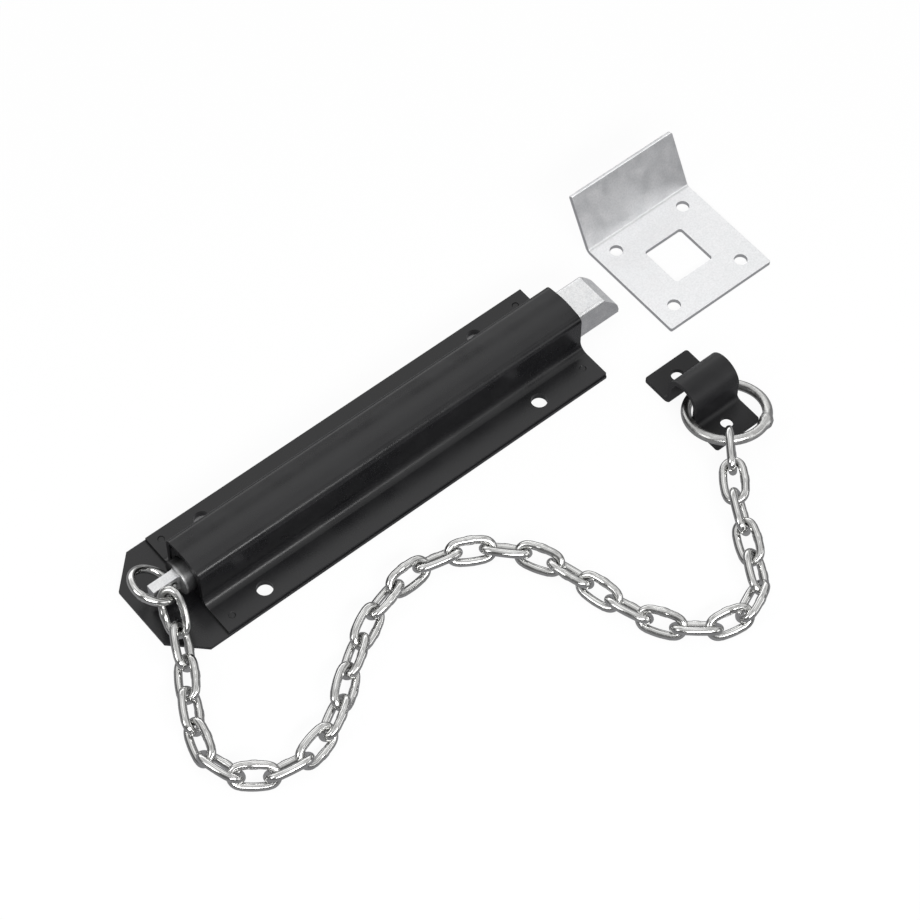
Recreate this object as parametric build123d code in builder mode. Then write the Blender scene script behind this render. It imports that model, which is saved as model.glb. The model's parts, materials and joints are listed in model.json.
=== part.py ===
from build123d import *
import os
from math import cos, pi, radians, sin

# Chain bolt for the top of a door, lying on its back plate.
# +X runs along the bolt to its shooting end, +Y to the far side, +Z up from the plate's underside.
# The origin is the middle of the plate's four screw holes. All sizes are in millimetres.

# Screw holes shared by the back plate and the cover
HOLE_SPACING_X = 163
HOLE_SPACING_Y = 48
HOLE_D = 8

# Back plate
PLATE_LENGTH = 250
PLATE_WIDTH = 65
PLATE_THICK = 2
PLATE_CORNER_CUT = 15
HOLE_TO_BOLT_END = 35
BOLT_END_X = HOLE_SPACING_X / 2 + HOLE_TO_BOLT_END
CHAIN_END_X = BOLT_END_X - PLATE_LENGTH

# Cover, one folded sheet
COVER_LENGTH = 224.5
COVER_EDGE_STEP = 0.5
COVER_WIDTH = PLATE_WIDTH - 2 * COVER_EDGE_STEP
COVER_SHEET = 2
HAT_OUTER_WIDTH = 26
HAT_OUTER_HEIGHT = 26
HAT_TOP_BEND = 3.5
HAT_FOOT_BEND = 5
HAT_CROWN = 0.7
HAT_CROWN_BEND = 90
COVER_CHAIN_END_X = BOLT_END_X - COVER_LENGTH
WELD_DIMPLE_D = 3.4
WELD_DIMPLE_DEPTH = 0.5
WELD_DIMPLES = ((-7, -23), (-8, 26), (-218, -26), (-219, 27))

# Inside of the cover, measured beside its walls
CAVITY_WIDTH = HAT_OUTER_WIDTH - 2 * COVER_SHEET
CAVITY_HEIGHT = HAT_OUTER_HEIGHT - HAT_CROWN - COVER_SHEET
BOLT_AXIS_Z = PLATE_THICK + CAVITY_HEIGHT / 2 + HAT_CROWN / 2

# End guides
GUIDE_THICK = 4
GUIDE_PLAY = 0.15
FRONT_GUIDE_CORNER_CUT = 1.6
REAR_GUIDE_CORNER_CUT = 4
FRONT_GUIDE_INSET = 2
REAR_GUIDE_INSET = 0.6

# Bolt
BOLT_WIDTH = 19
BOLT_EDGE_RADIUS = 2
BOLT_PLAY = 0.35
BOLT_THROW = 25
BOLT_LEFT_OUT = 3
BOLT_NOSE_OUT = BOLT_THROW + BOLT_LEFT_OUT
BOLT_BEVEL = 11
SQUARE_LENGTH = 139.5
TAIL_D = 17
TAIL_OUT = 4.5
TONGUE_LENGTH = 14
TONGUE_THICK = 5
TONGUE_HEIGHT = 10.5
TONGUE_ROOT_FILLET = 1
TONGUE_HOLE_D = 6.4
TONGUE_HOLE_FROM_ROOT = 4.4

# Stop pin
PIN_D = 4
PIN_OUT = 1.8
PIN_PLAY = 0.3

# Spring and its washer
WASHER_THICK = 1.5
WASHER_D = 21
SPRING_WIRE = 1.6
SPRING_PLAY = 0.35
SPRING_TURNS = 12
SPRING_WIRE_SIDES = 4
SPRING_STEPS_PER_TURN = 14
SEAT_GAP = 0.05

# Chain
LINK_WIRE = 4
LINK_INNER_LENGTH = 16.8
LINK_WIDTH = 14.2
LINK_COUNT = 31
LINK_PLAY = 0.7
LINK_ROLL = 45
FIRST_LINK_TWIST = -12
LAST_LINK_TWIST = 36
TWIST_LINKS = 4
WIRE_SIDES = 8
BEND_STEPS = 6
RING_STEPS = 16

# Ring through the bolt's tongue
PULL_RING_WIRE = 4
PULL_RING_RADIUS = 10.5
PULL_RING_SWING = 33
PULL_RING_TURN = 5
PULL_RING_IN_HOLE = 1
PULL_RING_HOOK_ANGLE = 70

# Ring at the chain's free end
END_RING_WIRE = 5
END_RING_RADIUS = 19.2
END_RING_TILT = 12
END_RING_TILT_TOWARDS = 240

# Staple that holds the end ring, placed from the ring's centre
STAPLE_FROM_RING_X = -1.58
STAPLE_FROM_RING_Y = 15.22
STAPLE_WIDTH = 27
STAPLE_LENGTH = 52
STAPLE_SHEET = 2.5
STAPLE_HUMP_WIDTH = 20
STAPLE_HUMP_HEIGHT = 23.5
STAPLE_FOOT_BEND = 2.5
STAPLE_HOLE_D = 6.3
STAPLE_HOLE_SPACING = 35
STAPLE_CORNER_RADIUS = 1.5

# Keep plate, folded once
KEEP_HOLE_CENTRE = (190.7, -0.4)
KEEP_LENGTH = 65
KEEP_LEG = 62.5
KEEP_THICK = 2.5
KEEP_HOLE_TO_FOLD = 31
KEEP_FOLD_ANGLE = 62.5
KEEP_UPRIGHT = 33
KEEP_FOLD_RADIUS = 2
KEEP_SQUARE_HOLE = 23.6
KEEP_SQUARE_HOLE_RADIUS = 1.5
KEEP_SCREW_SPACING_X = 43.5
KEEP_SCREW_SPACING_Y = 42.7
KEEP_SCREW_D = 6.5
KEEP_CORNER_RADIUS = 1

# Points that the chain passes, from the pull ring to inside the end ring, chosen by hand.
# X is measured from the hole in the bolt's tongue, Y from the bolt's middle, Z from the plate's underside.
CHAIN_ROUTE = (
    (-12.1, -26, 8.2),
    (-21.1, -42, 6.7),
    (-31.1, -59, 6.1),
    (-37.1, -77, 5.8),
    (-33.6, -91.5, 5.8),
    (-22.6, -101.5, 5.8),
    (-6.1, -105.5, 5.8),
    (11.9, -101.5, 5.8),
    (31.9, -88, 5.8),
    (57.9, -70, 5.8),
    (88.9, -61, 5.8),
    (120.9, -69, 5.8),
    (142.9, -94, 5.8),
    (152.4, -129, 5.8),
    (162.4, -154, 5.8),
    (175.4, -168, 5.8),
    (192.4, -173.5, 5.8),
    (207.4, -168, 5.8),
    (216.9, -153.5, 5.9),
    (225.2, -137, 7.1),
    (234.4, -121.5, 8.2),
    (243.6, -109, 9.7),
    (250.9, -99.5, 11.2),
    (256.9, -92, 12.5),
)


# Back plate: flat blank with two cut corners and four holes
with BuildPart() as back_plate:
    with BuildSketch():
        with Locations(((BOLT_END_X + CHAIN_END_X) / 2, 0)):
            Rectangle(PLATE_LENGTH, PLATE_WIDTH)
        chamfer(vertices().group_by(Axis.X)[0], PLATE_CORNER_CUT)
        with GridLocations(HOLE_SPACING_X, HOLE_SPACING_Y, 2, 2):
            Circle(HOLE_D / 2, mode=Mode.SUBTRACT)
    extrude(amount=PLATE_THICK)
back_plate.part.label = "back_plate"


# Cover: hat section, drawn as one line of its upper skin and thickened downwards
flange_y = COVER_WIDTH / 2
flange_z = PLATE_THICK + COVER_SHEET
hat_y = HAT_OUTER_WIDTH / 2
hat_z = PLATE_THICK + HAT_OUTER_HEIGHT
with BuildPart() as cover:
    with BuildSketch(Plane.YZ.offset(COVER_CHAIN_END_X)):
        with BuildLine():
            FilletPolyline(
                (-flange_y, flange_z),
                (-hat_y, flange_z),
                (-hat_y, hat_z - HAT_CROWN),
                (0, hat_z),
                (hat_y, hat_z - HAT_CROWN),
                (hat_y, flange_z),
                (flange_y, flange_z),
                radius=[HAT_FOOT_BEND, HAT_TOP_BEND, HAT_CROWN_BEND, HAT_TOP_BEND, HAT_FOOT_BEND],
            )
            offset(amount=COVER_SHEET, side=Side.RIGHT)
        make_face()
    extrude(amount=COVER_LENGTH)
    with BuildSketch(Plane.XY.offset(flange_z)):
        with GridLocations(HOLE_SPACING_X, HOLE_SPACING_Y, 2, 2):
            Circle(HOLE_D / 2)
    extrude(amount=-COVER_SHEET, mode=Mode.SUBTRACT)
    with BuildSketch(Plane.XY.offset(flange_z)):
        with Locations(*[(BOLT_END_X + x, y) for x, y in WELD_DIMPLES]):
            Circle(WELD_DIMPLE_D / 2)
    extrude(amount=-WELD_DIMPLE_DEPTH, taper=30, mode=Mode.SUBTRACT)
cover.part.label = "cover"


# End guides: plates that fill the cover's hollow and carry the bolt
def guide_outline(corner_cut):
    """Outline of a guide in the plane across the bolt, with its upper corners cut."""
    height = CAVITY_HEIGHT - GUIDE_PLAY
    with Locations((0, PLATE_THICK + height / 2)):
        Rectangle(CAVITY_WIDTH - 2 * GUIDE_PLAY, height)
    chamfer(vertices().group_by(Axis.Z)[-1], corner_cut)


front_guide_x = BOLT_END_X - FRONT_GUIDE_INSET - GUIDE_THICK
with BuildPart() as front_guide:
    with BuildSketch(Plane.YZ.offset(front_guide_x)):
        guide_outline(FRONT_GUIDE_CORNER_CUT)
        with Locations((0, BOLT_AXIS_Z)):
            RectangleRounded(
                BOLT_WIDTH + 2 * BOLT_PLAY,
                BOLT_WIDTH + 2 * BOLT_PLAY,
                BOLT_EDGE_RADIUS,
                mode=Mode.SUBTRACT,
            )
    extrude(amount=GUIDE_THICK)
front_guide.part.label = "front_guide"

rear_guide_x = COVER_CHAIN_END_X + REAR_GUIDE_INSET
with BuildPart() as rear_guide:
    with BuildSketch(Plane.YZ.offset(rear_guide_x)):
        guide_outline(REAR_GUIDE_CORNER_CUT)
        with Locations((0, BOLT_AXIS_Z)):
            Circle(TAIL_D / 2 + BOLT_PLAY, mode=Mode.SUBTRACT)
    extrude(amount=GUIDE_THICK)
rear_guide.part.label = "rear_guide"


# Bolt: square bar with a bevelled nose, round tail and a flat tongue with a cross hole
nose_x = BOLT_END_X + BOLT_NOSE_OUT
shoulder_x = nose_x - SQUARE_LENGTH
tail_end_x = COVER_CHAIN_END_X - TAIL_OUT
tongue_end_x = tail_end_x - TONGUE_LENGTH
tongue_hole_x = tail_end_x - TONGUE_HOLE_FROM_ROOT
pin_x = front_guide_x - PIN_PLAY - PIN_D / 2
bolt_half = BOLT_WIDTH / 2
with BuildPart() as bolt:
    with BuildSketch(Plane.YZ.offset(shoulder_x)):
        with Locations((0, BOLT_AXIS_Z)):
            RectangleRounded(BOLT_WIDTH, BOLT_WIDTH, BOLT_EDGE_RADIUS)
    extrude(amount=SQUARE_LENGTH)
    with BuildSketch(Plane.XZ):
        with BuildLine():
            Polyline(
                (nose_x, BOLT_AXIS_Z - bolt_half),
                (nose_x, BOLT_AXIS_Z + bolt_half),
                (nose_x - BOLT_BEVEL, BOLT_AXIS_Z + bolt_half),
                close=True,
            )
        make_face()
    extrude(amount=BOLT_WIDTH, both=True, mode=Mode.SUBTRACT)
    with BuildSketch(Plane.YZ.offset(tail_end_x)):
        with Locations((0, BOLT_AXIS_Z)):
            Circle(TAIL_D / 2)
    extrude(amount=shoulder_x - tail_end_x)
    with BuildSketch(Plane.YZ.offset(tongue_end_x)):
        with Locations((0, BOLT_AXIS_Z)):
            Rectangle(TONGUE_THICK, TONGUE_HEIGHT)
    extrude(amount=TONGUE_LENGTH)
    root_edges = edges().filter_by(lambda edge: abs(edge.center().X - tail_end_x) < 0.01)
    fillet(root_edges.filter_by(Axis.Z), TONGUE_ROOT_FILLET)
    with BuildSketch(Plane.XZ):
        with Locations((tongue_hole_x, BOLT_AXIS_Z)):
            Circle(TONGUE_HOLE_D / 2)
    extrude(amount=TONGUE_THICK, both=True, mode=Mode.SUBTRACT)
    with BuildSketch(Plane.XY.offset(BOLT_AXIS_Z)):
        with Locations((pin_x, 0)):
            Circle(PIN_D / 2)
    extrude(amount=BOLT_WIDTH, both=True, mode=Mode.SUBTRACT)
bolt.part.label = "bolt"

with BuildPart() as stop_pin:
    with BuildSketch(Plane.XY.offset(BOLT_AXIS_Z)):
        with Locations((pin_x, 0)):
            Circle(PIN_D / 2)
    extrude(amount=bolt_half + PIN_OUT, both=True)
stop_pin.part.label = "stop_pin"

washer_x = shoulder_x - SEAT_GAP - WASHER_THICK
with BuildPart() as spring_washer:
    with BuildSketch(Plane.YZ.offset(washer_x)):
        with Locations((0, BOLT_AXIS_Z)):
            Circle(WASHER_D / 2)
            Circle(TAIL_D / 2 + SPRING_PLAY, mode=Mode.SUBTRACT)
    extrude(amount=WASHER_THICK)
spring_washer.part.label = "spring_washer"


# Bent wire: a flat-sided section swept along straight steps, with mitred corners
def bent_wire(points, wire, sides, side_dir, closed=False):
    """Flat-sided wire along a row of points. A closed wire starts and ends inside its last step."""
    points = [Vector(*point) for point in points]
    if closed:
        points = [(points[-1] + points[0]) / 2] + points
    start_plane = Plane(points[0], x_dir=side_dir, z_dir=points[1] - points[0])
    path = Polyline(*points, close=closed)
    return sweep(start_plane * RegularPolygon(wire / 2, sides), path=path, transition=Transition.RIGHT)


# Spring: coil round the tail, pressed between the rear guide and the washer
rear_guide_front_x = rear_guide_x + GUIDE_THICK
spring_radius = (TAIL_D / 2 + SPRING_PLAY + SPRING_WIRE / 2) / cos(pi / SPRING_STEPS_PER_TURN)
spring_start_x = rear_guide_front_x + SEAT_GAP + SPRING_WIRE / 2
spring_end_x = washer_x - SEAT_GAP - SPRING_WIRE / 2
spring_steps = SPRING_TURNS * SPRING_STEPS_PER_TURN
spring_points = []
for step in range(spring_steps + 1):
    angle = 2 * pi * step / SPRING_STEPS_PER_TURN
    x = spring_start_x + (spring_end_x - spring_start_x) * step / spring_steps
    spring_points.append((x, spring_radius * cos(angle), BOLT_AXIS_Z + spring_radius * sin(angle)))
spring_coil = bent_wire(spring_points, SPRING_WIRE, SPRING_WIRE_SIDES, (1, 0, 0))
with BuildPart() as spring:
    add(spring_coil)
spring.part.label = "spring"


# Keep plate: flat leg with the square hole, folded up along its far side
keep_plane = Plane((KEEP_HOLE_CENTRE[0], KEEP_HOLE_CENTRE[1], 0))
upright_y = KEEP_HOLE_TO_FOLD + KEEP_UPRIGHT * cos(radians(KEEP_FOLD_ANGLE))
upright_z = KEEP_UPRIGHT * sin(radians(KEEP_FOLD_ANGLE))
with BuildPart() as keep_plate:
    with BuildSketch(Plane(keep_plane.origin, x_dir=keep_plane.y_dir, z_dir=keep_plane.x_dir)):
        with BuildLine():
            FilletPolyline(
                (KEEP_HOLE_TO_FOLD - KEEP_LEG, 0),
                (KEEP_HOLE_TO_FOLD, 0),
                (upright_y, upright_z),
                radius=KEEP_FOLD_RADIUS + KEEP_THICK,
            )
            offset(amount=KEEP_THICK, side=Side.LEFT)
        make_face()
    extrude(amount=KEEP_LENGTH / 2, both=True)
    across_edges = edges().filter_by(lambda edge: abs(edge.length - KEEP_THICK) < 0.001)
    fillet(across_edges, KEEP_CORNER_RADIUS)
    with BuildSketch(keep_plane):
        RectangleRounded(KEEP_SQUARE_HOLE, KEEP_SQUARE_HOLE, KEEP_SQUARE_HOLE_RADIUS)
        with GridLocations(KEEP_SCREW_SPACING_X, KEEP_SCREW_SPACING_Y, 2, 2):
            Circle(KEEP_SCREW_D / 2)
    extrude(amount=KEEP_THICK, mode=Mode.SUBTRACT)
keep_plate.part.label = "keep_plate"


def wire_ring(place, radius, wire):
    """Welded wire ring about the local Z axis of a plane, with the middle of a straight step on the local X axis."""
    corner_radius = radius / cos(pi / RING_STEPS)
    corners = []
    for step in range(RING_STEPS):
        angle = 2 * pi * (step + 0.5) / RING_STEPS
        corner = Vector(corner_radius * cos(angle), corner_radius * sin(angle), 0)
        corners.append(place.from_local_coords(corner))
    return bent_wire(corners, wire, WIRE_SIDES, place.z_dir, closed=True)


# Pull ring: swung up about the tongue's hole, lying against the hole's bolt side and turned a little in it
hole_point = Vector(tongue_hole_x + PULL_RING_IN_HOLE, 0, BOLT_AXIS_Z)
swing = radians(PULL_RING_SWING)
to_centre = Vector(-cos(swing), 0, sin(swing)).rotate(Axis.Z, -PULL_RING_TURN)
ring_normal = Vector(sin(swing), 0, cos(swing)).rotate(Axis.Z, -PULL_RING_TURN)
pull_ring_plane = Plane(hole_point + to_centre * PULL_RING_RADIUS, x_dir=-to_centre, z_dir=ring_normal)
pull_ring_shape = wire_ring(pull_ring_plane, PULL_RING_RADIUS, PULL_RING_WIRE)
with BuildPart() as pull_ring:
    add(pull_ring_shape)
pull_ring.part.label = "pull_ring"


# Chain: one link made once, then placed from contact to contact along the route
def welded_link():
    """Link with its centre at the origin, its length along X and its flat side up."""
    half_straight = (LINK_INNER_LENGTH + 2 * LINK_WIRE - LINK_WIDTH) / 2
    bend_radius = (LINK_WIDTH - LINK_WIRE) / 2
    corner_radius = bend_radius / cos(pi / 2 / BEND_STEPS)
    corners = []
    for end in (1, -1):
        for step in range(BEND_STEPS):
            angle = pi * (step + 0.5) / BEND_STEPS - pi / 2
            corners.append((end * (half_straight + corner_radius * cos(angle)), end * corner_radius * sin(angle), 0))
    return bent_wire(corners, LINK_WIRE, WIRE_SIDES, (0, 0, 1), closed=True)


def step_along(route, start, reach, distance):
    """The next point on the route that is a straight distance from the start, and how far along it is."""
    low = reach
    high = reach + 1.3 * distance
    for _ in range(40):
        middle = (low + high) / 2
        if (route.position_at(middle, PositionMode.LENGTH) - start).length < distance:
            low = middle
        else:
            high = middle
    return route.position_at(low, PositionMode.LENGTH), low


hook_angle = radians(PULL_RING_HOOK_ANGLE)
hook_point = pull_ring_plane.from_local_coords(
    Vector(PULL_RING_RADIUS * cos(hook_angle), -PULL_RING_RADIUS * sin(hook_angle), 0)
)
route_points = [Vector(tongue_hole_x + x, y, z) for x, y, z in CHAIN_ROUTE]
first_run = (hook_point - route_points[0]).normalized()
first_contact = hook_point + first_run * ((PULL_RING_WIRE + LINK_PLAY) / 2)
chain_line = Spline(first_contact, *route_points)

contacts = [first_contact]
reach = 0
for number in range(LINK_COUNT):
    point, reach = step_along(chain_line, contacts[-1], reach, LINK_INNER_LENGTH - LINK_PLAY)
    contacts.append(point)
print("chain line", round(chain_line.length, 2), "used", round(reach, 2))


def link_roll(number):
    """Turn of a link about its own length: every second link leans the other way, the end links a little more."""
    from_first = max(0, 1 - (number - 1) / TWIST_LINKS)
    from_last = max(0, 1 - (LINK_COUNT - number) / TWIST_LINKS)
    lean = LINK_ROLL if number % 2 else -LINK_ROLL
    return lean + FIRST_LINK_TWIST * from_first + LAST_LINK_TWIST * from_last


link_shape = welded_link()
links = []
for number in range(1, LINK_COUNT + 1):
    start, end = contacts[number - 1], contacts[number]
    along = (end - start).normalized()
    upward = (Vector(0, 0, 1) - along * along.Z).normalized()
    roll = link_roll(number)
    flat_up = upward.rotate(Axis((0, 0, 0), along), roll)
    with BuildPart() as link:
        add(Plane((start + end) / 2, x_dir=along, z_dir=flat_up) * link_shape)
    link.part.label = f"link_{number:02d}"
    links.append(link.part)


# End ring: hung on the last link, nearly flat, its far side low in the staple
tilt_axis = Axis((0, 0, 0), Vector(1, 0, 0).rotate(Axis.Z, END_RING_TILT_TOWARDS + 90))
end_ring_normal = Vector(0, 0, 1).rotate(tilt_axis, -END_RING_TILT)
last_run = (contacts[-1] - contacts[-2]).normalized()
to_ring_centre = (last_run - end_ring_normal * last_run.dot(end_ring_normal)).normalized()
wire_in_link = contacts[-1] - last_run * ((END_RING_WIRE + LINK_PLAY) / 2)
end_ring_centre = wire_in_link + to_ring_centre * END_RING_RADIUS
end_ring_plane = Plane(end_ring_centre, x_dir=-to_ring_centre, z_dir=end_ring_normal)
print("end ring centre", end_ring_centre)
end_ring_shape = wire_ring(end_ring_plane, END_RING_RADIUS, END_RING_WIRE)
with BuildPart() as end_ring:
    add(end_ring_shape)
end_ring.part.label = "end_ring"


# Staple: strap pressed into a half-round hump on straight walls, with two feet
staple_place = Vector(end_ring_centre.X + STAPLE_FROM_RING_X, end_ring_centre.Y + STAPLE_FROM_RING_Y, 0)
staple_half = STAPLE_LENGTH / 2
hump_half = STAPLE_HUMP_WIDTH / 2
hump_spring_z = STAPLE_HUMP_HEIGHT - hump_half
foot_bend = STAPLE_FOOT_BEND
with BuildPart() as chain_staple:
    with BuildSketch(Plane(staple_place, x_dir=(0, 1, 0), z_dir=(1, 0, 0))):
        with BuildLine():
            Line((-staple_half, STAPLE_SHEET), (-hump_half - foot_bend, STAPLE_SHEET))
            TangentArc(
                (-hump_half - foot_bend, STAPLE_SHEET),
                (-hump_half, STAPLE_SHEET + foot_bend),
                tangent=(1, 0),
            )
            Line((-hump_half, STAPLE_SHEET + foot_bend), (-hump_half, hump_spring_z))
            ThreePointArc((-hump_half, hump_spring_z), (0, STAPLE_HUMP_HEIGHT), (hump_half, hump_spring_z))
            Line((hump_half, hump_spring_z), (hump_half, STAPLE_SHEET + foot_bend))
            TangentArc(
                (hump_half, STAPLE_SHEET + foot_bend),
                (hump_half + foot_bend, STAPLE_SHEET),
                tangent=(0, -1),
            )
            Line((hump_half + foot_bend, STAPLE_SHEET), (staple_half, STAPLE_SHEET))
            offset(amount=STAPLE_SHEET, side=Side.RIGHT)
        make_face()
    extrude(amount=STAPLE_WIDTH / 2, both=True)
    tab_edges = edges().filter_by(Axis.Z).filter_by(lambda edge: abs(edge.length - STAPLE_SHEET) < 0.001)
    fillet(tab_edges, STAPLE_CORNER_RADIUS)
    with BuildSketch(Plane(staple_place)):
        with GridLocations(1, STAPLE_HOLE_SPACING, 1, 2):
            Circle(STAPLE_HOLE_D / 2)
    extrude(amount=STAPLE_SHEET, mode=Mode.SUBTRACT)
chain_staple.part.label = "chain_staple"


os.makedirs("parts", exist_ok=True)
solid_parts = [
    back_plate.part,
    cover.part,
    front_guide.part,
    rear_guide.part,
    bolt.part,
    stop_pin.part,
    spring_washer.part,
    spring.part,
    keep_plate.part,
    chain_staple.part,
    pull_ring.part,
    end_ring.part,
]
for piece in solid_parts + links:
    export_step(piece, f"parts/{piece.label}.step")
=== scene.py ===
# %% [markdown]
# # Dressing a chain bolt
#
# This lesson takes a finished CAD model of a spring bolt with its chain and makes it look real.
# The CAD model is the frame: it never moves and its meshes are never changed. Around it we add
# round wire, softened sheet edges, a smooth copy of the spring, and finishes. Everything is in
# metres, with +X along the bolt and +Z up from the underside of its back plate.

# %% Load the frame
import json
from math import cos, pi, radians, sin

import bpy
import numpy as np
from mathutils import Matrix, Vector


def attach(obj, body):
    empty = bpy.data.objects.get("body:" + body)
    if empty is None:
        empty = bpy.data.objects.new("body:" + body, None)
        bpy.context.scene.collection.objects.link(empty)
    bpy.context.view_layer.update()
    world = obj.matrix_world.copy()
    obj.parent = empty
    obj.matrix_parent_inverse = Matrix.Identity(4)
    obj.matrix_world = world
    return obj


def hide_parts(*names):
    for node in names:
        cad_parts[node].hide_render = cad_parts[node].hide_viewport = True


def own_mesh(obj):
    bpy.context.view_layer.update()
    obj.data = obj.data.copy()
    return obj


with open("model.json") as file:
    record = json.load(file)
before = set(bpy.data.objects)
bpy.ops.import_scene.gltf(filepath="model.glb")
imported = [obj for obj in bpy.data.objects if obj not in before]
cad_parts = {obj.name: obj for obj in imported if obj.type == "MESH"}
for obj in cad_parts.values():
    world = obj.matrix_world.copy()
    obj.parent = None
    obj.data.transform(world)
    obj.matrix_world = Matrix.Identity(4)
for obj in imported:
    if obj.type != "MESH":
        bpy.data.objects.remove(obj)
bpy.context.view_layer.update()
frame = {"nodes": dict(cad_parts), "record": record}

MM = 0.001


def in_mm(corner):
    """A place or size in millimetres, rounded for printing."""
    return [round(value / MM, 1) for value in corner]


# %% [markdown]
# ## The camera
#
# The photo was taken with a long lens from high on the near left. A long lens keeps the plate's
# long edges almost parallel. We could set the camera by eye, but its place and direction were
# worked out from the plate's corners and screw holes, so the numbers below are used as they are.

# %% Camera
CAMERA_PLACE = (-0.44158, -0.60447, 1.14466)
CAMERA_TURN = -39.27
CAMERA_DOWN = 56.79
SENSOR_MM = 36
LENS_MM = 114.2


def add_object(name, data):
    """Put a camera, a lamp or a mesh in the scene."""
    thing = bpy.data.objects.new(name, data)
    bpy.context.scene.collection.objects.link(thing)
    return thing


camera_data = bpy.data.cameras.new("camera")
camera_data.sensor_width = SENSOR_MM
camera_data.sensor_fit = "HORIZONTAL"
camera_data.lens = LENS_MM
camera = add_object("camera", camera_data)
camera.location = CAMERA_PLACE
camera.rotation_euler = (radians(90 - CAMERA_DOWN), 0, radians(CAMERA_TURN))
bpy.context.scene.camera = camera
bpy.context.scene.view_settings.view_transform = "Standard"
print("camera looks down by", CAMERA_DOWN, "degrees with a", LENS_MM, "mm lens")

# %% [markdown]
# ## Helpers for node trees
#
# Every finish below is a small network of shader nodes. A few short helpers keep those networks
# readable: they fill a socket, add a node with its sockets filled, calculate, mix two colours,
# and start an empty material. A plain value is set on the socket itself, because the exporter
# reads it from there.

# %% Node helpers
WHITE = (1, 1, 1, 1)
MIX_FIRST, MIX_SECOND, MIX_RESULT = 6, 7, 2


def fill(tree, socket, value):
    """Join a socket to another node's output, or give it a plain value."""
    if isinstance(value, bpy.types.NodeSocket):
        tree.links.new(value, socket)
    else:
        socket.default_value = value


def add_node(tree, kind, x, y, *inputs, **values):
    """Add a node and fill its inputs, in order or by name. An underscore marks a property."""
    node = tree.nodes.new(kind)
    node.location = (x, y)
    for name, value in values.items():
        if name.startswith("_"):
            setattr(node, name[1:], value)
    for socket, value in zip(node.inputs, inputs):
        fill(tree, socket, value)
    for name, value in values.items():
        if not name.startswith("_"):
            fill(tree, node.inputs[name.replace("_", " ")], value)
    return node


def calculate(tree, operation, x, y, *inputs):
    """The result of a Math node."""
    return add_node(tree, "ShaderNodeMath", x, y, *inputs, _operation=operation).outputs[0]


def mixed(tree, share, first, second, x, y, blend="MIX"):
    """A colour mixed from two, by a share from 0 to 1."""
    node = add_node(tree, "ShaderNodeMix", x, y, share, _data_type="RGBA", _blend_type=blend)
    fill(tree, node.inputs[MIX_FIRST], first)
    fill(tree, node.inputs[MIX_SECOND], second)
    return node.outputs[MIX_RESULT]


def empty_material(name):
    """A material with nothing in its tree but the output."""
    material = bpy.data.materials.new(name)
    material.use_nodes = True
    tree = material.node_tree
    tree.nodes.clear()
    return material, tree, add_node(tree, "ShaderNodeOutputMaterial", 600, 0)


print("node helpers: fill, add_node, calculate, mixed, empty_material")

# %% [markdown]
# ## The floor
#
# A product photo on white has a bright tent above the object and soft boxes beside it. The floor
# is white to the camera because it gives off light of its own there, and a small part of it stays
# an ordinary matt surface, so that the object keeps a faint shadow. Metal shows a greyer floor,
# as it does in the photo, where the wires have dark edges. A pure white one would make them melt
# into the background.
#
# The photo's background was cut out: the two near screw holes are white, the two far ones black.
# We get the same with a painted shadow under the far half of the plate, where the floor's own
# light is left out.

# %% Floor
FLOOR_SIZE = 6
FLOOR_DROP = 0.2 * MM
FLOOR_TONE = (0.9, 0.9, 0.9, 1)
FLOOR_OWN_LIGHT = 0.93
FLOOR_IN_METAL = (0.3, 0.3, 0.31, 1)
PAINTED_SHADOW_MIDDLE = (0, 21.5 * MM)
PAINTED_SHADOW_HALF = (100 * MM, 9.5 * MM)


def floor_finish():
    """Matt white that gives off light to the camera, except in a painted shadow under the plate's
    far half.
    """
    material, tree, output = empty_material("white_floor")
    place = add_node(tree, "ShaderNodeTexCoord", -1000, 600)
    parts = add_node(tree, "ShaderNodeSeparateXYZ", -800, 600, place.outputs["Object"])
    along, across = (
        calculate(
            tree, "COMPARE", -600, 700 - 200 * axis,
            parts.outputs[axis], PAINTED_SHADOW_MIDDLE[axis], PAINTED_SHADOW_HALF[axis],
        )
        for axis in (0, 1)
    )
    # The painted shadow: no light of its own where the floor lies under the plate's far half
    under = calculate(tree, "MULTIPLY", -400, 600, along, across)
    own_light = add_node(
        tree, "ShaderNodeMapRange", -200, 600, under, To_Min=FLOOR_OWN_LIGHT, To_Max=0
    )
    rays = add_node(tree, "ShaderNodeLightPath", -600, 300)
    to_camera = calculate(
        tree, "MULTIPLY", 0, 350, rays.outputs["Is Camera Ray"], own_light.outputs[0]
    )
    to_metal = calculate(
        tree, "MAXIMUM", -200, 150,
        rays.outputs["Is Glossy Ray"], rays.outputs["Is Transmission Ray"],
    )
    matt = add_node(tree, "ShaderNodeBsdfDiffuse", 0, -150, Color=FLOOR_TONE)
    glow = add_node(tree, "ShaderNodeEmission", 0, 100, Color=WHITE, Strength=1)
    grey_glow = add_node(tree, "ShaderNodeEmission", 0, -350, Color=FLOOR_IN_METAL, Strength=1)
    seen = add_node(
        tree, "ShaderNodeMixShader", 200, 100, to_camera, matt.outputs[0], glow.outputs[0]
    )
    whole = add_node(
        tree, "ShaderNodeMixShader", 400, 0, to_metal, seen.outputs[0], grey_glow.outputs[0]
    )
    fill(tree, output.inputs["Surface"], whole.outputs[0])
    return material


bpy.ops.object.select_all(action="DESELECT")
bpy.ops.mesh.primitive_plane_add(size=FLOOR_SIZE, location=(0, 0, 0))
floor = bpy.context.object
floor.name = "floor"
floor.data.transform(Matrix.Translation((0, 0, -FLOOR_DROP)))
floor.data.materials.append(floor_finish())
print("floor is", FLOOR_SIZE, "m wide")

# %% [markdown]
# ## The tent
#
# The world is the tent. It is brightest overhead, in the direction that flat upward faces reflect
# to the camera. Around that lies a darker ring, then a lighter one, then the dim sides. Flat
# sheet blurs these together, but round wire shows them as thin streaks along its length, which is
# what makes it look round.

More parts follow.
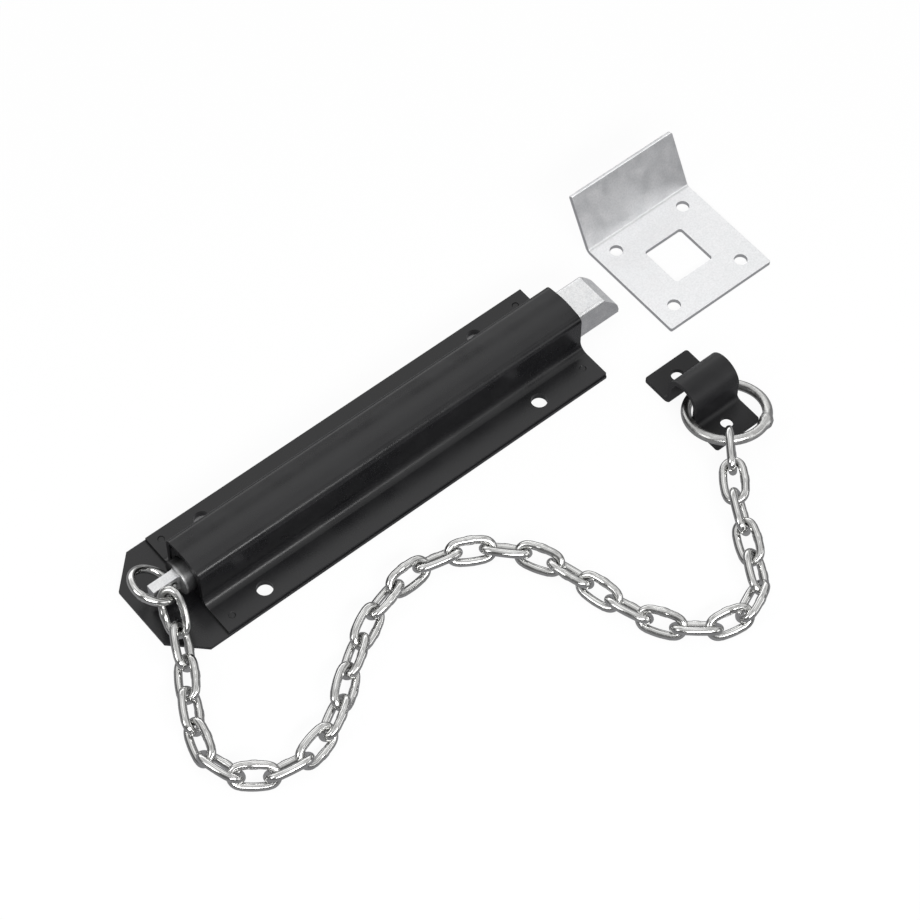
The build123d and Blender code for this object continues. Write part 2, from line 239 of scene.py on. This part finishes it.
# %% World
TENT_BRIGHT = 1.38
BRIGHT_TOWARDS = Vector((0.28, 0.34, 0.9)).normalized()
# The angle from the brightest direction, in degrees, and the tone there
TENT_TONES = ((0, 1), (13, 1), (18, 0.36), (24, 0.36), (30, 0.64), (44, 0.64), (62, 0.1))

world = bpy.data.worlds.new("tent")
bpy.context.scene.world = world
world.use_nodes = True
sky = world.node_tree
sky.nodes.clear()
directions = add_node(sky, "ShaderNodeTexCoord", -600, 0)
nearness = add_node(
    sky, "ShaderNodeVectorMath", -400, 0,
    directions.outputs["Generated"], BRIGHT_TOWARDS, _operation="DOT_PRODUCT",
)
away = calculate(sky, "ARCCOSINE", -200, 0, nearness.outputs["Value"])
half_turns = calculate(sky, "DIVIDE", 0, 0, away, pi)
tones = add_node(sky, "ShaderNodeValToRGB", 200, 0, half_turns)
stops = tones.color_ramp.elements
stops.remove(stops[1])
stops[0].position, stops[0].color = 0, WHITE
for angle, tone in TENT_TONES[1:]:
    stops.new(angle / 180).color = (tone, tone, tone, 1)
background = add_node(
    sky, "ShaderNodeBackground", 600, 0, Color=tones.outputs["Color"], Strength=TENT_BRIGHT
)
add_node(sky, "ShaderNodeOutputWorld", 800, 0, Surface=background.outputs[0])
print("tent has", len(TENT_TONES), "tones from overhead to the sides")

# %% [markdown]
# ## The lamps
#
# Four soft boxes give the highlights that the tent can't. A long strip on the near side draws the
# bright line along the cover's bend, and a wide one on the far side catches the tops of the wires
# from behind. A small box faces the bolt's nose and the keep plate, and one at the left fills the
# shadows.

# %% Lamps
MIDDLE = (0.03, -0.03, 0)
# Name, place, the point it faces, width and height in metres, power in watts
SOFT_BOXES = (
    ("near_strip", (-0.3, -0.9, 0.75), (-0.3, -0.03, 0), 1.2, 0.26, 11),
    ("far_strip", (0.45, 1.1, 0.45), MIDDLE, 1.6, 0.5, 3),
    ("nose_box", (0.75, -0.8, 0.35), (0.19, 0.03, 0.015), 0.7, 0.4, 1.3),
    ("left_box", (-1.1, 0.2, 0.9), MIDDLE, 0.5, 0.6, 4),
)

for name, place, target, width, height, power in SOFT_BOXES:
    lamp = bpy.data.lights.new(name, "AREA")
    lamp.shape = "RECTANGLE"
    lamp.size = width
    lamp.size_y = height
    lamp.energy = power
    box = add_object(name, lamp)
    box.location = place
    direction = Vector(target) - Vector(place)
    box.rotation_euler = direction.to_track_quat("-Z", "Y").to_euler()
    print(name, "gives", power, "W over", round(width * height, 2), "square metres")

# %% [markdown]
# ## Shared effects
#
# Paint and zinc both have a surface that is never quite even: a slow cloudy change and a fine
# grain. Both finishes can use the same effect with other numbers, so it is made once as a node
# group and placed in each material. The group gives out plain values, and the material decides
# what they change.

# %% Cloud and grain group
def float_socket(group, name, way):
    """Add a socket for a plain number to a group."""
    return group.interface.new_socket(name=name, in_out=way, socket_type="NodeSocketFloat")


def uneven_surface_group():
    """Slow clouds and fine grain on Object coordinates, each from 0 to 1."""
    group = bpy.data.node_groups.new("uneven_surface", "ShaderNodeTree")
    float_socket(group, "Cloud Scale", "INPUT").default_value = 60
    float_socket(group, "Grain Scale", "INPUT").default_value = 1500
    float_socket(group, "Clouds", "OUTPUT")
    float_socket(group, "Grain", "OUTPUT")
    entry = add_node(group, "NodeGroupInput", -500, 0)
    coordinates = add_node(group, "ShaderNodeTexCoord", -500, 300)
    clouds = add_node(
        group, "ShaderNodeTexNoise", 0, 200, Vector=coordinates.outputs["Object"],
        Scale=entry.outputs["Cloud Scale"], Detail=3, Roughness=0.6,
    )
    grain = add_node(
        group, "ShaderNodeTexNoise", 0, -150, Vector=coordinates.outputs["Object"],
        Scale=entry.outputs["Grain Scale"], Detail=2, Roughness=0.55,
    )
    add_node(
        group, "NodeGroupOutput", 500, 0, Clouds=clouds.outputs["Fac"], Grain=grain.outputs["Fac"]
    )
    return group


uneven_surface = uneven_surface_group()
print("group", uneven_surface.name, "has", len(uneven_surface.nodes), "nodes")

# %% [markdown]
# ## From noise to a finish
#
# A noise value stays mostly between 0.3 and 0.7. Two helpers turn it into what a material needs:
# a number in a range, or a colour between two tones. A third one sets up what all the finishes
# share: clouds that shift the colour and the roughness, and a grain in relief.

# %% Finish helpers
NOISE_LOW, NOISE_HIGH = 0.3, 0.7


def spread(tree, noise, low, high, x, y):
    """Turn a noise value into a range."""
    node = add_node(tree, "ShaderNodeMapRange", x, y, noise, NOISE_LOW, NOISE_HIGH, low, high)
    return node.outputs[0]


def two_tones(tree, noise, dark, light, x, y):
    """A colour between two tones, chosen by a noise value."""
    share = spread(tree, noise, 0, 1, x - 200, y)
    return mixed(tree, share, (*dark, 1), (*light, 1), x, y)


def uneven_finish(name, dark, light, rough, cloud_scale, grain_scale, depth, strength):
    """A material whose clouds shift colour and roughness, with a grain in relief."""
    material, tree, output = empty_material(name)
    shader = add_node(tree, "ShaderNodeBsdfPrincipled", 300, 0)
    fill(tree, output.inputs["Surface"], shader.outputs["BSDF"])
    surface = add_node(
        tree, "ShaderNodeGroup", -600, 0, _node_tree=uneven_surface,
        Cloud_Scale=cloud_scale, Grain_Scale=grain_scale,
    )
    clouds, grain = surface.outputs["Clouds"], surface.outputs["Grain"]
    colour = two_tones(tree, clouds, dark, light, 0, 250)
    fill(tree, shader.inputs["Roughness"], spread(tree, clouds, *rough, 0, 0))
    relief = add_node(
        tree, "ShaderNodeBump", 0, -250, Distance=depth, Strength=strength, Height=grain
    )
    fill(tree, shader.inputs["Normal"], relief.outputs["Normal"])
    return material, tree, shader, colour, grain


print("finish helpers: spread, two_tones, uneven_finish")

# %% [markdown]
# ## The black paint
#
# The plate, cover, guides and staple are dipped or sprayed in black stove enamel. It is
# semi-gloss: flat faces show a soft dark grey reflection of the tent, and each rounded bend shows
# a narrow bright line. The colour stays nearly black, and the reflection does the rest. The
# staple's paint is duller, and its round hump shows no bright line at all, so it gets the same
# enamel with a rougher surface.

# %% Black paint
PAINT_DARK = (0.007, 0.007, 0.008)
PAINT_LIGHT = (0.014, 0.014, 0.015)
PAINT_CLOUDS = 45
PEEL_SCALE = 420
PEEL_DEPTH = 0.03 * MM
PEEL_STRENGTH = 0.05


def enamel(name, rough, gloss):
    """Black enamel: nearly black, with a cloudy roughness and a faint orange peel."""
    material, tree, shader, colour, grain = uneven_finish(
        name, PAINT_DARK, PAINT_LIGHT, rough, PAINT_CLOUDS, PEEL_SCALE, PEEL_DEPTH, PEEL_STRENGTH
    )
    shader.inputs["Specular IOR Level"].default_value = gloss
    fill(tree, shader.inputs["Base Color"], colour)
    print("paint", name, "made")
    return material


black_paint = enamel("black_stove_enamel", rough=(0.24, 0.34), gloss=0.42)
dull_paint = enamel("dull_black_enamel", rough=(0.42, 0.5), gloss=0.34)

# %% [markdown]
# ## Painted shade on the bolt's tail
#
# The bolt's round tail lies in shade where it slides in the guide, deepest on the far side,
# under the cover. A mask made from the place on the bolt paints that shade into its colour: it
# darkens the tail there, and leaves the tongue and the nose bright. The tail's end face is found
# from the CAD mesh: it is the rearmost place where the bolt is wider than its tongue.

# %% Painted shade mask
WIDER_THAN_TONGUE = 5 * MM
SHADE_MARGIN = 0.1 * MM
# The painted shade ends out of sight, in the middle of the cover
SHADE_UP_TO_X = 0
# Where the tail's round rim starts and ends, from its end face, and how bright the painted shade
# leaves it there
RIM_FROM, RIM_TO = 0.02 * MM, 1.2 * MM
RIM_BRIGHT, TAIL_BRIGHT = 0.65, 0.16
# Where the tail turns to its far side, into the cover's painted shade, and how much of the
# brightness is left there
FAR_FROM_Y, FAR_TO_Y = -1 * MM, 3 * MM
FAR_LEAVES = 0.2

bolt_corners = [vertex.co for vertex in frame["nodes"]["bolt"].data.vertices]
TAIL_FACE_X = min(co.x for co in bolt_corners if abs(co.y) > WIDER_THAN_TONGUE)
print("the bolt's round tail ends at X", round(TAIL_FACE_X / MM, 2), "mm")


def painted_tail_shade(tree, x, y):
    """How bright the bolt is from place to place: full, but darkened by painted shade on its
    tail.
    """
    coordinates = add_node(tree, "ShaderNodeTexCoord", x - 900, y)
    parts = add_node(tree, "ShaderNodeSeparateXYZ", x - 700, y, coordinates.outputs["Object"])
    along, across = parts.outputs["X"], parts.outputs["Y"]
    past_face = calculate(
        tree, "GREATER_THAN", x - 450, y + 200, along, TAIL_FACE_X - SHADE_MARGIN
    )
    before_bar = calculate(tree, "LESS_THAN", x - 450, y + 400, along, SHADE_UP_TO_X)
    # The painted shade lies past the tail's end face and short of the middle of the bolt
    in_shade = calculate(tree, "MULTIPLY", x - 200, y + 300, past_face, before_bar)
    rim = add_node(
        tree, "ShaderNodeMapRange", x - 450, y,
        along, TAIL_FACE_X + RIM_FROM, TAIL_FACE_X + RIM_TO, RIM_BRIGHT, TAIL_BRIGHT,
    )
    far = add_node(
        tree, "ShaderNodeMapRange", x - 450, y - 300, across, FAR_FROM_Y, FAR_TO_Y, 1, FAR_LEAVES
    )
    tone = calculate(tree, "MULTIPLY", x - 200, y, rim.outputs[0], far.outputs[0])
    return mixed(tree, in_shade, WHITE, tone, x, y)


# %% [markdown]
# ## The zinc plating
#
# Everything else is zinc plated steel, but it has several faces. The keep plate is flat sheet
# with a satin, faintly clouded plating. The bolt is milled bar, a little speckled. The chain is
# drawn wire, the smoothest of all, and the large ring is rougher. One function makes them all
# from the same network, with two close tones, a speckle and a mask where one is given.

# %% Zinc finishes
def zinc(
    name, dark, light, rough, cloud_scale, grain_scale, depth, strength, speck=1, mask=None
):
    """Zinc plated steel: two close tones, a roughness that drifts, and a fine relief."""
    material, tree, shader, colour, grain = uneven_finish(
        name, dark, light, rough, cloud_scale, grain_scale, depth, strength
    )
    shader.inputs["Metallic"].default_value = 1
    speckle = two_tones(tree, grain, (speck, speck, speck), (1, 1, 1), 0, 550)
    colour = mixed(tree, 1, colour, speckle, 150, 400, "MULTIPLY")
    if mask:
        colour = mixed(tree, 1, colour, mask(tree, -200, 900), 150, 800, "MULTIPLY")
    fill(tree, shader.inputs["Base Color"], colour)
    print("zinc", name, "made")
    return material


sheet_zinc = zinc(
    "satin_zinc_sheet", dark=(0.86, 0.87, 0.88), light=(0.93, 0.93, 0.94), rough=(0.3, 0.4),
    cloud_scale=120, grain_scale=1100, depth=0.05 * MM, strength=0.4, speck=0.88,
)
# The bolt's zinc carries the painted shade on its tail
bar_zinc = zinc(
    "speckled_zinc_bar", dark=(0.82, 0.83, 0.84), light=(0.94, 0.94, 0.94), rough=(0.4, 0.5),
    cloud_scale=260, grain_scale=1500, depth=0.07 * MM, strength=0.6, speck=0.8,
    mask=painted_tail_shade,
)
wire_zinc = zinc(
    "bright_zinc_wire", dark=(0.58, 0.58, 0.57), light=(0.74, 0.74, 0.73), rough=(0.13, 0.24),
    cloud_scale=150, grain_scale=900, depth=0.04 * MM, strength=0.2,
)
ring_zinc = zinc(
    "satin_zinc_ring", dark=(0.52, 0.52, 0.51), light=(0.7, 0.7, 0.69), rough=(0.26, 0.4),
    cloud_scale=300, grain_scale=800, depth=0.1 * MM, strength=0.5, speck=0.85,
)
spring_steel = zinc(
    "dark_spring_wire", dark=(0.2, 0.2, 0.2), light=(0.3, 0.3, 0.31), rough=(0.3, 0.42),
    cloud_scale=200, grain_scale=900, depth=0.04 * MM, strength=0.3,
)

# %% [markdown]
# ## Finishes on the CAD nodes
#
# The record says which material slot each node has. We give every node its finish by that name,
# so a node without a dressed copy below still looks right.

# %% Give each node its finish
FINISHES = {
    "black_paint": black_paint,
    "bolt_zinc": bar_zinc,
    "plate_zinc": sheet_zinc,
    "chain_zinc": wire_zinc,
    "spring_steel": spring_steel,
}

for part in frame["record"]["subparts"]:
    node = frame["nodes"][part["node"]]
    node.data.materials.clear()
    node.data.materials.append(FINISHES[part["material_slot"]])
print(len(frame["nodes"]), "nodes have a finish")

# %% [markdown]
# ## Selecting, moving and cutting
#
# An operator acts on all that is selected, so the selection comes first. Four helpers do what a
# modeller does by hand: pick one object, pick vertices by their place, move them, and cut the
# piece by a plane. Bisect leaves the new line selected, ready to be moved.

# %% Helpers for edit mode
def only(piece):
    """Select one object and make it active."""
    bpy.ops.object.select_all(action="DESELECT")
    piece.select_set(True)
    bpy.context.view_layer.objects.active = piece


def select_vertices(piece, wanted):
    """In object mode, select the vertices whose place passes a test."""
    for vertex in piece.data.vertices:
        vertex.select = bool(wanted(vertex.co))
    for edge in piece.data.edges:
        edge.select = False
    for face in piece.data.polygons:
        face.select = False


def move_vertices(piece, wanted, offset):
    """Move the vertices whose place passes a test."""
    bpy.ops.object.mode_set(mode="OBJECT")
    select_vertices(piece, wanted)
    bpy.ops.object.mode_set(mode="EDIT")
    bpy.ops.mesh.select_mode(type="VERT")
    bpy.ops.transform.translate(value=offset)
    bpy.ops.object.mode_set(mode="OBJECT")


def cut(piece, point, normal, faces=lambda face: True):
    """Cut some faces by a plane, and leave the new vertices selected in edit mode."""
    bpy.ops.object.mode_set(mode="OBJECT")
    select_vertices(piece, lambda co: False)
    for face in piece.data.polygons:
        face.select = faces(face)
    bpy.ops.object.mode_set(mode="EDIT")
    bpy.ops.mesh.select_mode(type="FACE")
    bpy.ops.mesh.bisect(plane_co=point, plane_no=normal)


print("edit helpers: only, select_vertices, move_vertices, cut")

# %% [markdown]
# ## Two forms that aren't quite flat or round
#
# The nose's slope isn't a flat cut: it swells a little between its edges. The cover's top was
# pressed, so it is fuller in the middle than a plain arc. Both are cut into strips, and each line
# between two strips is moved by its own amount.

# %% Nose and crown
# How far down the slope each line is, as a share of its height, and how far it swells
NOSE_SWELLS = ((0.2, 1 * MM), (0.4, 1.4 * MM), (0.6, 1.2 * MM), (0.8, 0.5 * MM))
# The corners of the slope's lower edge are nearer to the tip than this
NOSE_TIP = 1 * MM
CROWN_CUTS_MM = (-9, -6, -3, 0, 3, 6, 9)
CROWN_LIFT = 1.1 * MM
CROWN_HALF = 12.5 * MM
# The crown is what lies within this depth of the cover's top
CROWN_DEPTH = 6 * MM
# Vertices nearer than this lie on one line
SAME_LINE = 0.001 * MM


def on_slope(face):
    """Whether a face looks forward and up, as only the nose's slope does."""
    return face.normal.x > 0.5 and face.normal.z > 0.2


def rounded_nose(piece):
    """Swell the nose's slope outward between its edges."""
    corners = [vertex.co for vertex in piece.data.vertices]
    tip = max(co.x for co in corners)
    top = max(co.z for co in corners)
    height = top - min(co.z for co in corners if co.x > tip - NOSE_TIP)
    for down, swell in NOSE_SWELLS:
        cut(piece, (0, 0, top - down * height), (0, 0, 1), on_slope)
        bpy.ops.transform.translate(value=(swell, 0, 0))
        bpy.ops.object.mode_set(mode="OBJECT")


def fuller_crown(piece):
    """Lift the middle of the cover's top, as the press leaves it."""
    top = max(vertex.co.z for vertex in piece.data.vertices)
    for y in CROWN_CUTS_MM:
        cut(piece, (0, y * MM, 0), (0, 1, 0))
        bpy.ops.object.mode_set(mode="OBJECT")
    crown = [vertex.co for vertex in piece.data.vertices if vertex.co.z > top - CROWN_DEPTH]
    lines = {round(co.y, 6) for co in crown}
    for y in sorted(lines):
        lift = CROWN_LIFT * max(0, 1 - (y / CROWN_HALF) ** 2) ** 2
        if lift > 0:
            move_vertices(
                piece,
                lambda co: abs(co.y - y) < SAME_LINE and co.z > top - CROWN_DEPTH,
                (0, 0, lift),
            )


print("the nose swells by", max(swell for _, swell in NOSE_SWELLS) / MM, "mm at most")
print("the cover's middle rises by", CROWN_LIFT / MM, "mm")

# %% [markdown]
# ## Softened edges
#
# A CAD edge is perfectly sharp, and a sharp edge never catches light. Real sheet has a small
# burr-free round, thick with paint. We could round the edges in CAD, but that costs thousands of
# faces, so here a copy of each node is merged, its flat faces are joined, and a Bevel modifier
# rounds what is left. Weighted normals then keep the flat faces flat beside their new rounds.

# %% Soften a copy of a node
MERGE_WITHIN = 0.001 * MM
FLAT_WITHIN = radians(0.5)
BEVEL_FROM = radians(40)
BEVEL_SEGMENTS = 2
SMOOTH_BELOW = radians(38)
FULL_WEIGHT = 100


def merged_copy(node, name, join_flat=False):
    """A copy of a CAD node, with its loose triangles merged, and joined where they are flat."""
    piece = add_object(name, frame["nodes"][node].data.copy())
    only(piece)
    bpy.ops.mesh.customdata_custom_splitnormals_clear()
    bpy.ops.object.mode_set(mode="EDIT")
    bpy.ops.mesh.select_all(action="SELECT")
    bpy.ops.mesh.remove_doubles(threshold=MERGE_WITHIN)
    if join_flat:
        bpy.ops.mesh.dissolve_limited(angle_limit=FLAT_WITHIN)
    bpy.ops.object.mode_set(mode="OBJECT")
    return piece


def softened(node, body, round_mm, shape=None, finish=None):
    """A copy of a CAD node with small rounds, reshaped first where that is asked for."""
    piece = merged_copy(node, node + "_soft", join_flat=True)
    if shape:
        shape(piece)
    bevel = piece.modifiers.new("round", "BEVEL")
    bevel.width = round_mm * MM
    bevel.segments = BEVEL_SEGMENTS
    bevel.limit_method = "ANGLE"
    bevel.angle_limit = BEVEL_FROM
    bevel.use_clamp_overlap = True
    bpy.ops.object.modifier_apply(modifier="round")
    bpy.ops.object.shade_smooth_by_angle(angle=SMOOTH_BELOW)
    flat = piece.modifiers.new("flat_faces", "WEIGHTED_NORMAL")
    flat.mode = "FACE_AREA"
    flat.weight = FULL_WEIGHT
    flat.keep_sharp = True
    bpy.ops.object.modifier_apply(modifier="flat_faces")
    if finish:
        piece.data.materials[0] = finish
    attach(piece, body)
    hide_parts(node)
    print(piece.name, "has", len(piece.data.polygons), "faces")


softened("back_plate", "housing", round_mm=0.35)
softened("cover", "housing", round_mm=0.35, shape=fuller_crown)
softened("front_guide", "housing", round_mm=0.3)
softened("rear_guide", "housing", round_mm=0.3)
softened("keep_plate", "housing", round_mm=0.25)
softened("chain_staple", "chain_staple", round_mm=0.4, finish=dull_paint)
softened("bolt", "bolt", round_mm=0.2, shape=rounded_nose)

# %% [markdown]
# ## The spring
#
# The spring sits on the bolt's tail inside the cover. One end stays against the rear guide while
# the bolt pushes the other end 25 mm towards it, so the coils close up. A smooth copy of the
# spring stands in for it, fixed to the housing, and it costs no new shape.

# %% The spring
SPRING_SMOOTH_BELOW = radians(60)

spring = merged_copy("spring", "spring_coils")
bpy.ops.object.shade_smooth_by_angle(angle=SPRING_SMOOTH_BELOW)
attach(spring, "housing")
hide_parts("spring")
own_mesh(spring)

# %% [markdown]
# ## One link, modelled once
#
# A chain link is a round wire bent to a long ring. A torus is the right start: its two halves are
# pulled apart by the length of the straight sides, and the faces between them stretch into the
# sides. The sides of a real link aren't quite straight. They bow out a little, so we cut them
# into short lengths and move each cut outward by its own amount.

# %% The link's shape
LINK_WIRE = 4 * MM
LINK_WIDTH = 14.2 * MM
LINK_LENGTH = 24.8 * MM
LINK_STEPS_ROUND_BEND = 40
LINK_STEPS_ROUND_WIRE = 20
SIDE_BOW = 0.6 * MM
WELD_HALF = 1.1 * MM
NEARLY = 0.01 * MM

bend_radius = (LINK_WIDTH - LINK_WIRE) / 2 - SIDE_BOW
half_straight = (LINK_LENGTH - LINK_WIRE) / 2 - bend_radius
half_length = half_straight + bend_radius

bpy.ops.object.select_all(action="DESELECT")
bpy.ops.mesh.primitive_torus_add(
    major_radius=bend_radius,
    minor_radius=LINK_WIRE / 2,
    major_segments=LINK_STEPS_ROUND_BEND,
    minor_segments=LINK_STEPS_ROUND_WIRE,
)
link = bpy.context.object
link.name = "link_pattern"
only(link)
move_vertices(link, lambda co: co.x > NEARLY, (half_straight, 0, 0))
move_vertices(link, lambda co: co.x < -NEARLY, (-half_straight, 0, 0))
for distance in (WELD_HALF, 2 * WELD_HALF, 3 * WELD_HALF, half_straight):
    cut(link, (distance, 0, 0), (1, 0, 0))
    cut(link, (-distance, 0, 0), (1, 0, 0))
bpy.ops.object.mode_set(mode="OBJECT")
from_middle = (abs(vertex.co.x) for vertex in link.data.vertices)
for distance in sorted({round(x, 7) for x in from_middle if x < half_straight + NEARLY}):
    bow = SIDE_BOW * (1 - (distance / half_length) ** 2) ** 2
    for side in (1, -1):
        move_vertices(
            link,
            lambda co: abs(abs(co.x) - distance) < SAME_LINE and co.y * side > 0,
            (0, bow * side, 0),
        )
print("link pattern is", in_mm(link.dimensions), "mm")

# %% [markdown]
# ## The link's weld
#
# Every link was closed by a weld in the middle of one side, and the wire is a little thicker
# there. We select the short length between the two innermost cuts and scale it up. The rings
# below have welds too, rough ones, so the same helper can also move vertices at random, always
# by the same seed.

# %% The weld
LINK_WELD_SWELL = 1.1
WELD_SEED = 3


def swell_weld(piece, wanted, scale, centre, rough=None):
    """Thicken the wire where it was welded, and make the weld rough where that is asked for."""
    select_vertices(piece, wanted)
    bpy.ops.object.mode_set(mode="EDIT")
    bpy.ops.mesh.select_mode(type="VERT")
    bpy.ops.transform.resize(value=scale, center_override=centre)
    if rough:
        bpy.ops.transform.vertex_random(offset=rough, seed=WELD_SEED)
    bpy.ops.object.mode_set(mode="OBJECT")


swell_weld(
    link,
    lambda co: abs(co.x) < WELD_HALF + NEARLY and co.y < 0,
    (1, LINK_WELD_SWELL, LINK_WELD_SWELL),
    (0, -bend_radius - SIDE_BOW, 0),
)
bpy.ops.object.shade_smooth()
print("the wire is", round(LINK_WIRE * LINK_WELD_SWELL / MM, 1), "mm thick at the weld")

# %% [markdown]
# ## Placing the thirty-one links
#
# Each CAD link already lies where the real one lies. Its longest, middle and shortest directions
# are its length, its width and its thickness, so they tell us how it is turned, with no list of
# places to keep. Every copy gets its own mesh, because the exporter bakes each piece by itself.

# %% Copy the link along the chain
def lie_of(node):
    """Centre and three directions of a CAD node, longest first, from its own corners."""
    vertices = frame["nodes"][node].data.vertices
    corners = np.array(sorted({tuple(round(c, 7) for c in v.co) for v in vertices}))
    middle = corners.mean(0)
    axes = np.linalg.svd(corners - middle, full_matrices=False)[2]
    along = (corners - middle) @ axes.T
    centre = middle + ((along.max(0) + along.min(0)) / 2) @ axes
    if np.linalg.det(axes) < 0:
        axes[2] = -axes[2]
    return centre, axes


def placed(centre, axes):
    """The matrix that puts X, Y and Z along three directions at a centre."""
    matrix = Matrix.Identity(4)
    for column in range(3):
        for row in range(3):
            matrix[row][column] = axes[column][row]
    matrix.translation = Vector(centre)
    return matrix


link_nodes = sorted(name for name in frame["nodes"] if name.startswith("link_"))
for name in link_nodes:
    piece = add_object(name + "_wire", link.data.copy())
    piece.data.transform(placed(*lie_of(name)))
    piece.data.materials.append(wire_zinc)
    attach(piece, name)
    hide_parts(name)
bpy.data.objects.remove(link)
print(len(link_nodes), "links placed")

# %% [markdown]
# ## The two rings
#
# The ring through the bolt's tongue and the ring in the staple are round wire too, bent to a
# circle and welded. A torus of the right size is nearly the whole shape. What makes it look made
# is the weld, a short thicker place where the ends meet, so each ring gets one where the photo
# shows it. It is swelled twice, the second time over half its length, so that it rises in the
# middle, and it is rough. The large ring's weld is a lump, so it swells most.

# %% Rings
RING_STEPS_ROUND = 96
RING_STEPS_ROUND_WIRE = 24
WELD_ROUGH = 0.22 * MM


def wire_ring(node, radius, wire, weld_turn, weld_half, swell, finish):
    """A welded ring in a CAD ring's place. weld_turn is the weld's direction, in degrees."""
    centre, axes = lie_of(node)
    normal = Vector(axes[2])
    if normal.z < 0:
        normal = -normal
    to_weld = Vector((cos(radians(weld_turn)), sin(radians(weld_turn)), 0))
    across = (to_weld - normal * to_weld.dot(normal)).normalized()
    up = normal.cross(across)
    bpy.ops.object.select_all(action="DESELECT")
    bpy.ops.mesh.primitive_torus_add(
        major_radius=radius,
        minor_radius=wire / 2,
        major_segments=RING_STEPS_ROUND,
        minor_segments=RING_STEPS_ROUND_WIRE,
    )
    piece = bpy.context.object
    piece.name = node + "_wire"
    only(piece)
    for half in (weld_half, weld_half / 2):
        swell_weld(
            piece,
            lambda co: co.x > 0 and abs(co.y) < half,
            (swell, 1, swell),
            (radius, 0, 0),
            WELD_ROUGH,
        )
    bpy.ops.object.shade_smooth()
    piece.data.transform(placed(centre, (across, up, normal)))
    piece.data.materials.append(finish)
    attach(piece, node)
    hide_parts(node)
    print(piece.name, "is", round(2 * radius / MM, 1), "mm across the wire's middle")


wire_ring(
    "pull_ring", radius=10.5 * MM, wire=4 * MM,
    weld_turn=200, weld_half=1.6 * MM, swell=1.05, finish=wire_zinc,
)
wire_ring(
    "end_ring", radius=19.2 * MM, wire=5 * MM,
    weld_turn=-61, weld_half=4 * MM, swell=1.16, finish=ring_zinc,
)
